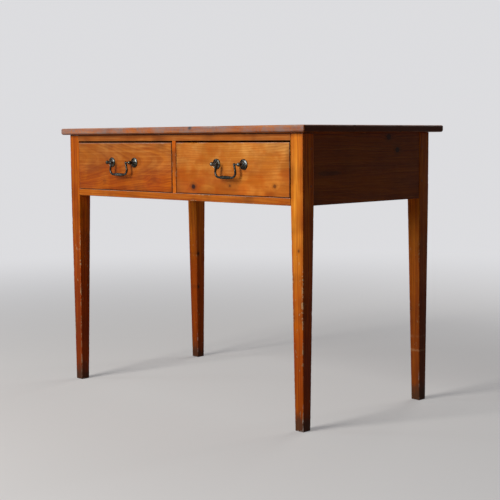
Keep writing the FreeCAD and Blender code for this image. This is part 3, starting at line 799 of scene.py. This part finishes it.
def merged_copy(node):
    """A closed copy of a CAD node, to cut with."""
    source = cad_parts[node]
    copy = bpy.data.objects.new(node + "_cutter", source.data.copy())
    bpy.context.scene.collection.objects.link(copy)
    with editing(copy, "VERT"):
        bpy.ops.mesh.remove_doubles(threshold=MERGE)
    return copy


def rod(radius, start, end, y=0):
    """A round rod across the table from one place on X to another."""
    return made(bpy.ops.mesh.primitive_cylinder_add, vertices=32, radius=radius, depth=end - start,
                location=((start + end) / 2, y, 0), rotation=(0, math.pi / 2, 0))


def turned_rosette(brass):
    """Stepped round plate with a beaded rim and a hollow, facing the front from the origin."""
    rim, bore = brass.rosette_radius, 2.6 * MM
    bead, quirk, crown = rim - 2.2 * MM, rim - 3.0 * MM, 6.2 * MM
    edge, bead_top, quirk_floor, hollow = 1.6 * MM, 2.7 * MM, 1.8 * MM, 3.1 * MM
    shoulder, easing, top = 5.2 * MM, 5.5 * MM, 5.6 * MM
    outline = [(bore, 0), (rim, 0), (rim, edge)]
    outline += bow(outline[-1], ((rim + bead) / 2, bead_top), (bead, edge))
    outline.append((quirk, quirk_floor))
    outline += bow(outline[-1], ((quirk + crown) / 2, hollow), (crown, shoulder))
    outline += bow(outline[-1], (crown - 0.15 * MM, easing), (crown - 0.6 * MM, top), 3)
    outline += [(bore, top), (bore, 0)]
    return turning("rosette", outline, 64)


def turned_post(brass):
    """Post with a shank, a collar, a waisted neck and a drilled ball, facing the front from the origin."""
    shank, tail, neck, hole = 2.4 * MM, -25.5 * MM, 3.0 * MM, 2.25 * MM
    collar, bulge, collar_start, collar_end = 4.2 * MM, 5.2 * MM, 5.6 * MM, 7.6 * MM
    ball, reach, ball_steps = brass.ball_radius, brass.pivot_reach, 18
    outline = [(0, tail), (shank, tail), (shank, collar_start), (collar, collar_start)]
    outline += bow(outline[-1], (bulge, (collar_start + collar_end) / 2), (collar, collar_end))
    start = math.asin(neck / ball)
    low = reach - ball * math.cos(start)
    outline += bow(outline[-1], (neck * 0.98, (collar_end + low) / 2), (neck, low))
    for number in range(1, ball_steps + 1):
        turn = start + (math.pi - start) * number / ball_steps
        outline.append((ball * math.sin(turn), reach - ball * math.cos(turn)))
    post = turning("post", outline, 48)
    carve(post, rod(hole, -2 * ball, 2 * ball, -reach))
    return post


def cast_bail(brass):
    """Bail with a swelled grip and two swan-neck arms, hanging from a pivot line through the origin."""
    arm, drop, top = brass.arm_radius, brass.bail_drop, brass.bail_half_width
    elbow, neck, turn = 13 * MM, 16 * MM, math.radians(102)
    knuckle_radius, pin_radius, pin_end = 3.7 * MM, 2 * MM, 52 * MM
    out = Vector((math.cos(turn), 0, math.sin(turn)))
    rise = elbow * (1 - out.x) - neck * out.x
    straight = out * ((drop - rise) / out.z)
    neck_start = Vector((top + neck * (1 - out.z), 0, neck * out.x))
    elbow_end = neck_start - straight
    grip = elbow_end.x - elbow * out.z

    outline = [(0, -grip), (arm, -grip)]
    outline += bow(outline[-1], (brass.grip_radius, 0), (arm, grip), 16)
    outline.append((0, grip))
    middle = turning("bail_grip", outline, 32, Vector((0, 0, -drop)), Vector((0, 0, 1)), Vector((1, 0, 0)))

    side = made(bpy.ops.mesh.primitive_circle_add, vertices=24, radius=arm, fill_type="NGON",
                location=(grip, 0, -drop), rotation=(0, math.pi / 2, 0))
    with editing(side, "FACE"):
        bpy.ops.mesh.spin(steps=18, angle=turn, center=(grip, 0, elbow - drop), axis=(0, 1, 0))
        bpy.ops.mesh.extrude_region_move(TRANSFORM_OT_translate={"value": straight})
        bpy.ops.mesh.spin(steps=6, angle=turn - math.pi / 2, center=(top + neck, 0, 0), axis=(0, -1, 0))
    knuckle = made(bpy.ops.mesh.primitive_uv_sphere_add, segments=32, ring_count=16, radius=knuckle_radius,
                   location=(top, 0, 0))
    half = joined("bail_half", [side, knuckle, rod(pin_radius, top, pin_end)])
    applied(half, "MIRROR", use_axis=(True, False, False), use_mirror_merge=False)
    bail = joined("bail", [middle, half])
    with editing(bail, "FACE"):
        bpy.ops.mesh.normals_make_consistent(inside=False)
    applied(bail, "REMESH", mode="VOXEL", voxel_size=0.4 * MM)
    applied(bail, "SMOOTH", factor=0.5, iterations=5)
    return bail


# Steps

class PINETABLE_OT_top(bpy.types.Operator):
    """Model the three boards of the top with rounded, worn edges"""

    bl_idname = "pine_table.top"
    bl_label = "Top boards"

    def execute(self, context):
        timber, _, _ = settings()
        margin, step, wear_reach, shortest = 8 * MM, 6 * MM, 6 * MM, 0.1
        corner, chamfer, upper_rim, lower_rim = 5 * MM, 0.5 * MM, 4 * MM, 6 * MM
        for node in ("top_board_front", "top_board_middle", "top_board_back"):
            low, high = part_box(node)
            outer = {"top_board_front": (low.y,), "top_board_back": (high.y,)}.get(node, ())
            joints = [y for y in (low.y, high.y) if y not in outer]
            piece = block(node + "_worn", low, high)
            saw_margins(piece, (0, 1), low, high, margin)

            def at_corner(a, b):
                upright = abs(a.z - b.z) > margin
                return upright and any(abs(a.y - y) < TOUCH for y in outer) and abs(a.x) > high.x - TOUCH

            def at_joint(a, b):
                return both_on(a, b, 2, high.z) and any(both_on(a, b, 1, y) for y in joints)

            def on_rim(point):
                gaps = [high.x - abs(point.x), *(abs(point.y - y) for y in outer)]
                return min(gaps) < corner + 0.1 * MM

            def rim(level):
                def test(a, b):
                    joint = any(both_on(a, b, 1, y, MM) for y in joints)
                    return both_on(a, b, 2, level) and on_rim(a) and on_rim(b) and not joint
                return test

            if outer:
                round_edges(piece, corner, 5, at_corner)
            round_edges(piece, chamfer, 1, at_joint)
            round_edges(piece, upper_rim, 4, rim(high.z))
            round_edges(piece, lower_rim, 5, rim(low.z))
            for axis in (0, 1):
                divide(piece, axis, step, shortest)
            weather(piece, node, low, high, wear_reach, timber)
            coat = PolishedPine(node, low, high, timber).polished()
            finish_piece(piece, "frame", node, coat)
        return {"FINISHED"}


class PINETABLE_OT_legs(bpy.types.Operator):
    """Model the four tapered legs with worn arrises and feet"""

    bl_idname = "pine_table.legs"
    bl_label = "Legs"

    def execute(self, context):
        timber, _, _ = settings()
        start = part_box("side_rail_right")[0].z
        foot, inset, margin, shortest = 26.5 * MM, 3 * MM, 4.5 * MM, 0.05
        for node in ("leg_front_left", "leg_front_right", "leg_rear_left", "leg_rear_right"):
            low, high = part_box(node)
            shrink = 1 - foot / (high.x - low.x)
            outer = (low.x if high.x < 0 else high.x, low.y if high.y < 0 else high.y)
            taper = Taper(start, shrink, [edge - math.copysign(inset / shrink, edge) for edge in outer])
            piece = block(node + "_worn", low, high)
            saw_margins(piece, (0, 1), low, high, margin)
            saw(piece, 2, low.z + margin)
            saw(piece, 2, start)
            round_edges(piece, timber.arris_radius, 3, arris(low, high))
            divide(piece, 2, timber.edge_step, shortest)
            weather(piece, node, low, high, margin, timber)
            for vertex in piece.data.vertices:
                narrow = 1 - shrink * max(0, 1 - vertex.co.z / start)
                for axis in (0, 1):
                    vertex.co[axis] = taper.centre[axis] + (vertex.co[axis] - taper.centre[axis]) * narrow
            coat = PolishedPine(node, low, high, timber, taper).polished()
            finish_piece(piece, "frame", node, coat)
        return {"FINISHED"}


class PINETABLE_OT_rails(bpy.types.Operator):
    """Finish the rails and the divider"""

    bl_idname = "pine_table.rails"
    bl_label = "Rails"

    def execute(self, context):
        timber, _, _ = settings()
        front_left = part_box("leg_front_left")[1]
        rear_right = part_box("leg_rear_right")[0]
        for node in ("side_rail_left", "side_rail_right", "back_rail", "front_top_rail", "front_bottom_rail",
                     "drawer_divider"):
            low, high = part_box(node)
            # The tenons are hidden, so the finish runs between the faces that show.
            if node.startswith("side_rail"):
                low.y, high.y = front_left.y, rear_right.y
            elif node.endswith("_rail"):
                low.x, high.x = front_left.x, rear_right.x
            else:
                low.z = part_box("front_bottom_rail")[1].z
                high.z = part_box("front_top_rail")[0].z
            dress(PolishedPine(node, low, high, timber).polished(), node)
        return {"FINISHED"}


class PINETABLE_OT_drawer_fronts(bpy.types.Operator):
    """Model the drawer fronts with worn arrises, dovetail sockets, a groove and bores"""

    bl_idname = "pine_table.drawer_fronts"
    bl_label = "Drawer fronts"

    def execute(self, context):
        timber, _, _ = settings()
        margin, front_radius, shortest = 5 * MM, 2.3 * MM, 0.1
        for side in ("left", "right"):
            node = side + "_drawer_front"
            low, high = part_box(node)
            piece = block(node + "_worn", low, high)
            saw_margins(piece, (0, 2), low, high, margin)
            on_arris = arris(low, high)
            round_edges(piece, front_radius, 4, lambda a, b: both_on(a, b, 1, low.y) and on_arris(a, b))
            for axis in (0, 2):
                divide(piece, axis, timber.edge_step, shortest)
            weather(piece, node, low, high, margin, timber)
            for part in ("_drawer_left_side", "_drawer_right_side", "_drawer_bottom", "_handle_posts"):
                carve(piece, merged_copy(side + part))
            coat = PolishedPine(node, low, high, timber).polished()
            finish_piece(piece, side + "_drawer", node, coat)
        return {"FINISHED"}


class PINETABLE_OT_inside(bpy.types.Operator):
    """Finish the bare wood, pegs, screws and nails inside"""

    bl_idname = "pine_table.inside"
    bl_label = "Inside"

    def execute(self, context):
        timber, _, _ = settings()
        front_to_back = bare_pine("bare_pine_front_to_back", "YZX", 21.5, timber)
        side_to_side = bare_pine("bare_pine_side_to_side", "XZY", 33.1, timber)
        for side in ("left", "centre", "right"):
            dress(front_to_back, "runner_" + side, "guide_" + side, "kicker_" + side)
        dress(side_to_side, "drawer_stops", "glue_blocks")
        dress(peg_wood(timber), "tenon_pegs")
        iron = old_iron()
        dress(iron, "top_screws", "runner_nails")
        for side in ("left", "right"):
            dress(front_to_back, side + "_drawer_left_side", side + "_drawer_right_side")
            dress(side_to_side, side + "_drawer_back", side + "_drawer_bottom")
            dress(iron, side + "_drawer_bottom_nails")
        return {"FINISHED"}


class PINETABLE_OT_handles(bpy.types.Operator):
    """Model the rosettes, posts and bails of the two handles"""

    bl_idname = "pine_table.handles"
    bl_label = "Handles"

    def execute(self, context):
        _, brass, _ = settings()
        skin = aged_brass("old_brass", brass, rubbed=1.0, dulled=0.75)
        dark_skin = aged_brass("dark_brass", brass, rubbed=0.5, dulled=0.25)
        rosette = turned_rosette(brass)
        post = turned_post(brass)
        bail = cast_bail(brass)
        for side in ("left", "right"):
            low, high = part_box(side + "_handle_rosettes")
            radius, height = brass.rosette_radius, (low.z + high.z) / 2
            places = [Vector((x, high.y, height)) for x in (low.x + radius, high.x - radius)]
            pivot = (places[0] + places[1]) / 2 - Vector((0, brass.pivot_reach, 0))
            plates = joined(side + "_rosettes", [copied(rosette, place) for place in places])
            stems = joined(side + "_posts", [copied(post, place) for place in places])
            loop = copied(bail, pivot)
            loop.name = side + "_bail"
            finish_piece(plates, side + "_drawer", side + "_handle_rosettes", skin)
            finish_piece(stems, side + "_drawer", side + "_handle_posts", skin)
            finish_piece(loop, side + "_bail", side + "_handle_bail", dark_skin)
            dress(skin, side + "_handle_nuts")
        for pattern in (rosette, post, bail):
            discard(pattern)
        return {"FINISHED"}


class PINETABLE_OT_stage(bpy.types.Operator):
    """Set up the floor, the lamps, the background and the camera"""

    bl_idname = "pine_table.stage"
    bl_label = "Stage"

    def execute(self, context):
        _, _, stage = settings()
        scene = context.scene
        scene.view_settings.view_transform = "Standard"
        floor_radius = 14
        floor = made(bpy.ops.mesh.primitive_circle_add, vertices=96, radius=floor_radius, fill_type="NGON")
        floor.name = "studio_floor"
        floor.data.materials.append(self.floor_finish(stage))
        self.light_world(scene, stage)
        for name, lamp in LAMPS.items():
            self.hang_lamp(name, lamp, getattr(stage, name + "_power"))
        self.aim_camera(scene, stage)
        return {"FINISHED"}

    def seen(self, finish):
        """1 for the rays that should see the pale background, 0 for the light on the object."""
        share_in_gloss = 0.42
        rays = finish.node("LightPath", {}, {}).outputs
        camera, glossy, through = (Value(finish, rays[name]) for name in (
            "Is Camera Ray", "Is Glossy Ray", "Is Transmission Ray"))
        return (camera + through + glossy * share_in_gloss).least(1)

    def floor_finish(self, stage):
        """A matt floor that passes into the pale background away from the table."""
        finish = Surface("studio_floor")
        x, y, _ = finish.split(finish.place)
        away = (x.square() + y.square()).root().rise(0.5, 4.0) * 0.75 + 0.25
        seen = self.seen(finish)
        colour = finish.mix(seen, stage.floor_bounce, stage.floor)
        matt = finish.value("BsdfDiffuse", {}, {"Color": colour})
        wall = finish.value("Emission", {}, {"Color": stage.wall, "Strength": 1.0})
        blend = finish.value("MixShader", {}, {0: away * seen, 1: matt, 2: wall})
        finish.node("OutputMaterial", {}, {0: blend})
        return finish.owner

    def light_world(self, scene, stage):
        finish = Finish(bpy.data.worlds.new("studio"))
        scene.world = finish.owner
        fill, wall = (finish.value("Background", {}, {"Color": colour, "Strength": 1.0})
                      for colour in (stage.fill, stage.wall))
        blend = finish.value("MixShader", {}, {0: self.seen(finish), 1: fill, 2: wall})
        finish.node("OutputWorld", {}, {0: blend})

    def hang_lamp(self, name, lamp, watts):
        bpy.ops.object.light_add(type="AREA", location=lamp.place)
        light = bpy.context.active_object
        light.name = name + "_lamp"
        light.data.energy = watts
        light.data.shape = "RECTANGLE"
        light.data.size, light.data.size_y = lamp.size
        light.data.color = lamp.colour
        aim = Vector(lamp.target) - Vector(lamp.place)
        light.rotation_euler = aim.to_track_quat("-Z", "Y").to_euler()

    def aim_camera(self, scene, stage):
        bpy.ops.object.camera_add()
        camera = bpy.context.active_object
        camera.name = "photo_camera"
        camera.data.lens = stage.camera_lens
        camera.data.sensor_width = 36
        turn = Matrix.Rotation(stage.camera_turn, 4, "Z")
        tilt = Matrix.Rotation(math.pi / 2 + stage.camera_tilt, 4, "X")
        roll = Matrix.Rotation(stage.camera_roll, 4, "Z")
        camera.matrix_world = Matrix.Translation(stage.camera_place) @ turn @ tilt @ roll
        scene.camera = camera


class PINETABLE_PT_panel(bpy.types.Panel):
    """Settings and steps of the pine table"""

    bl_label = "Pine Table"
    bl_idname = "PINETABLE_PT_panel"
    bl_space_type = "VIEW_3D"
    bl_region_type = "UI"
    bl_category = "Pine Table"

    def draw(self, context):
        layout = self.layout
        for group in settings():
            box = layout.box()
            for name in group.__annotations__:
                box.prop(group, name)
        for step in STEPS:
            layout.operator(step.bl_idname)


STEPS = (PINETABLE_OT_top, PINETABLE_OT_legs, PINETABLE_OT_rails, PINETABLE_OT_drawer_fronts,
         PINETABLE_OT_inside, PINETABLE_OT_handles, PINETABLE_OT_stage)
GROUPS = {
    "pine_table_timber": PineTableTimber,
    "pine_table_brass": PineTableBrass,
    "pine_table_stage": PineTableStage,
}
CLASSES = (*GROUPS.values(), *STEPS, PINETABLE_PT_panel)


def register():
    for item in CLASSES:
        bpy.utils.register_class(item)
    for name, group in GROUPS.items():
        setattr(bpy.types.Scene, name, PointerProperty(type=group))


def unregister():
    for name in GROUPS:
        delattr(bpy.types.Scene, name)
    for item in reversed(CLASSES):
        bpy.utils.unregister_class(item)


def main():
    register()
    bpy.ops.pine_table.top()
    bpy.ops.pine_table.legs()
    bpy.ops.pine_table.rails()
    bpy.ops.pine_table.drawer_fronts()
    bpy.ops.pine_table.inside()
    bpy.ops.pine_table.handles()
    bpy.ops.pine_table.stage()


if __name__ == "__main__":
    main()
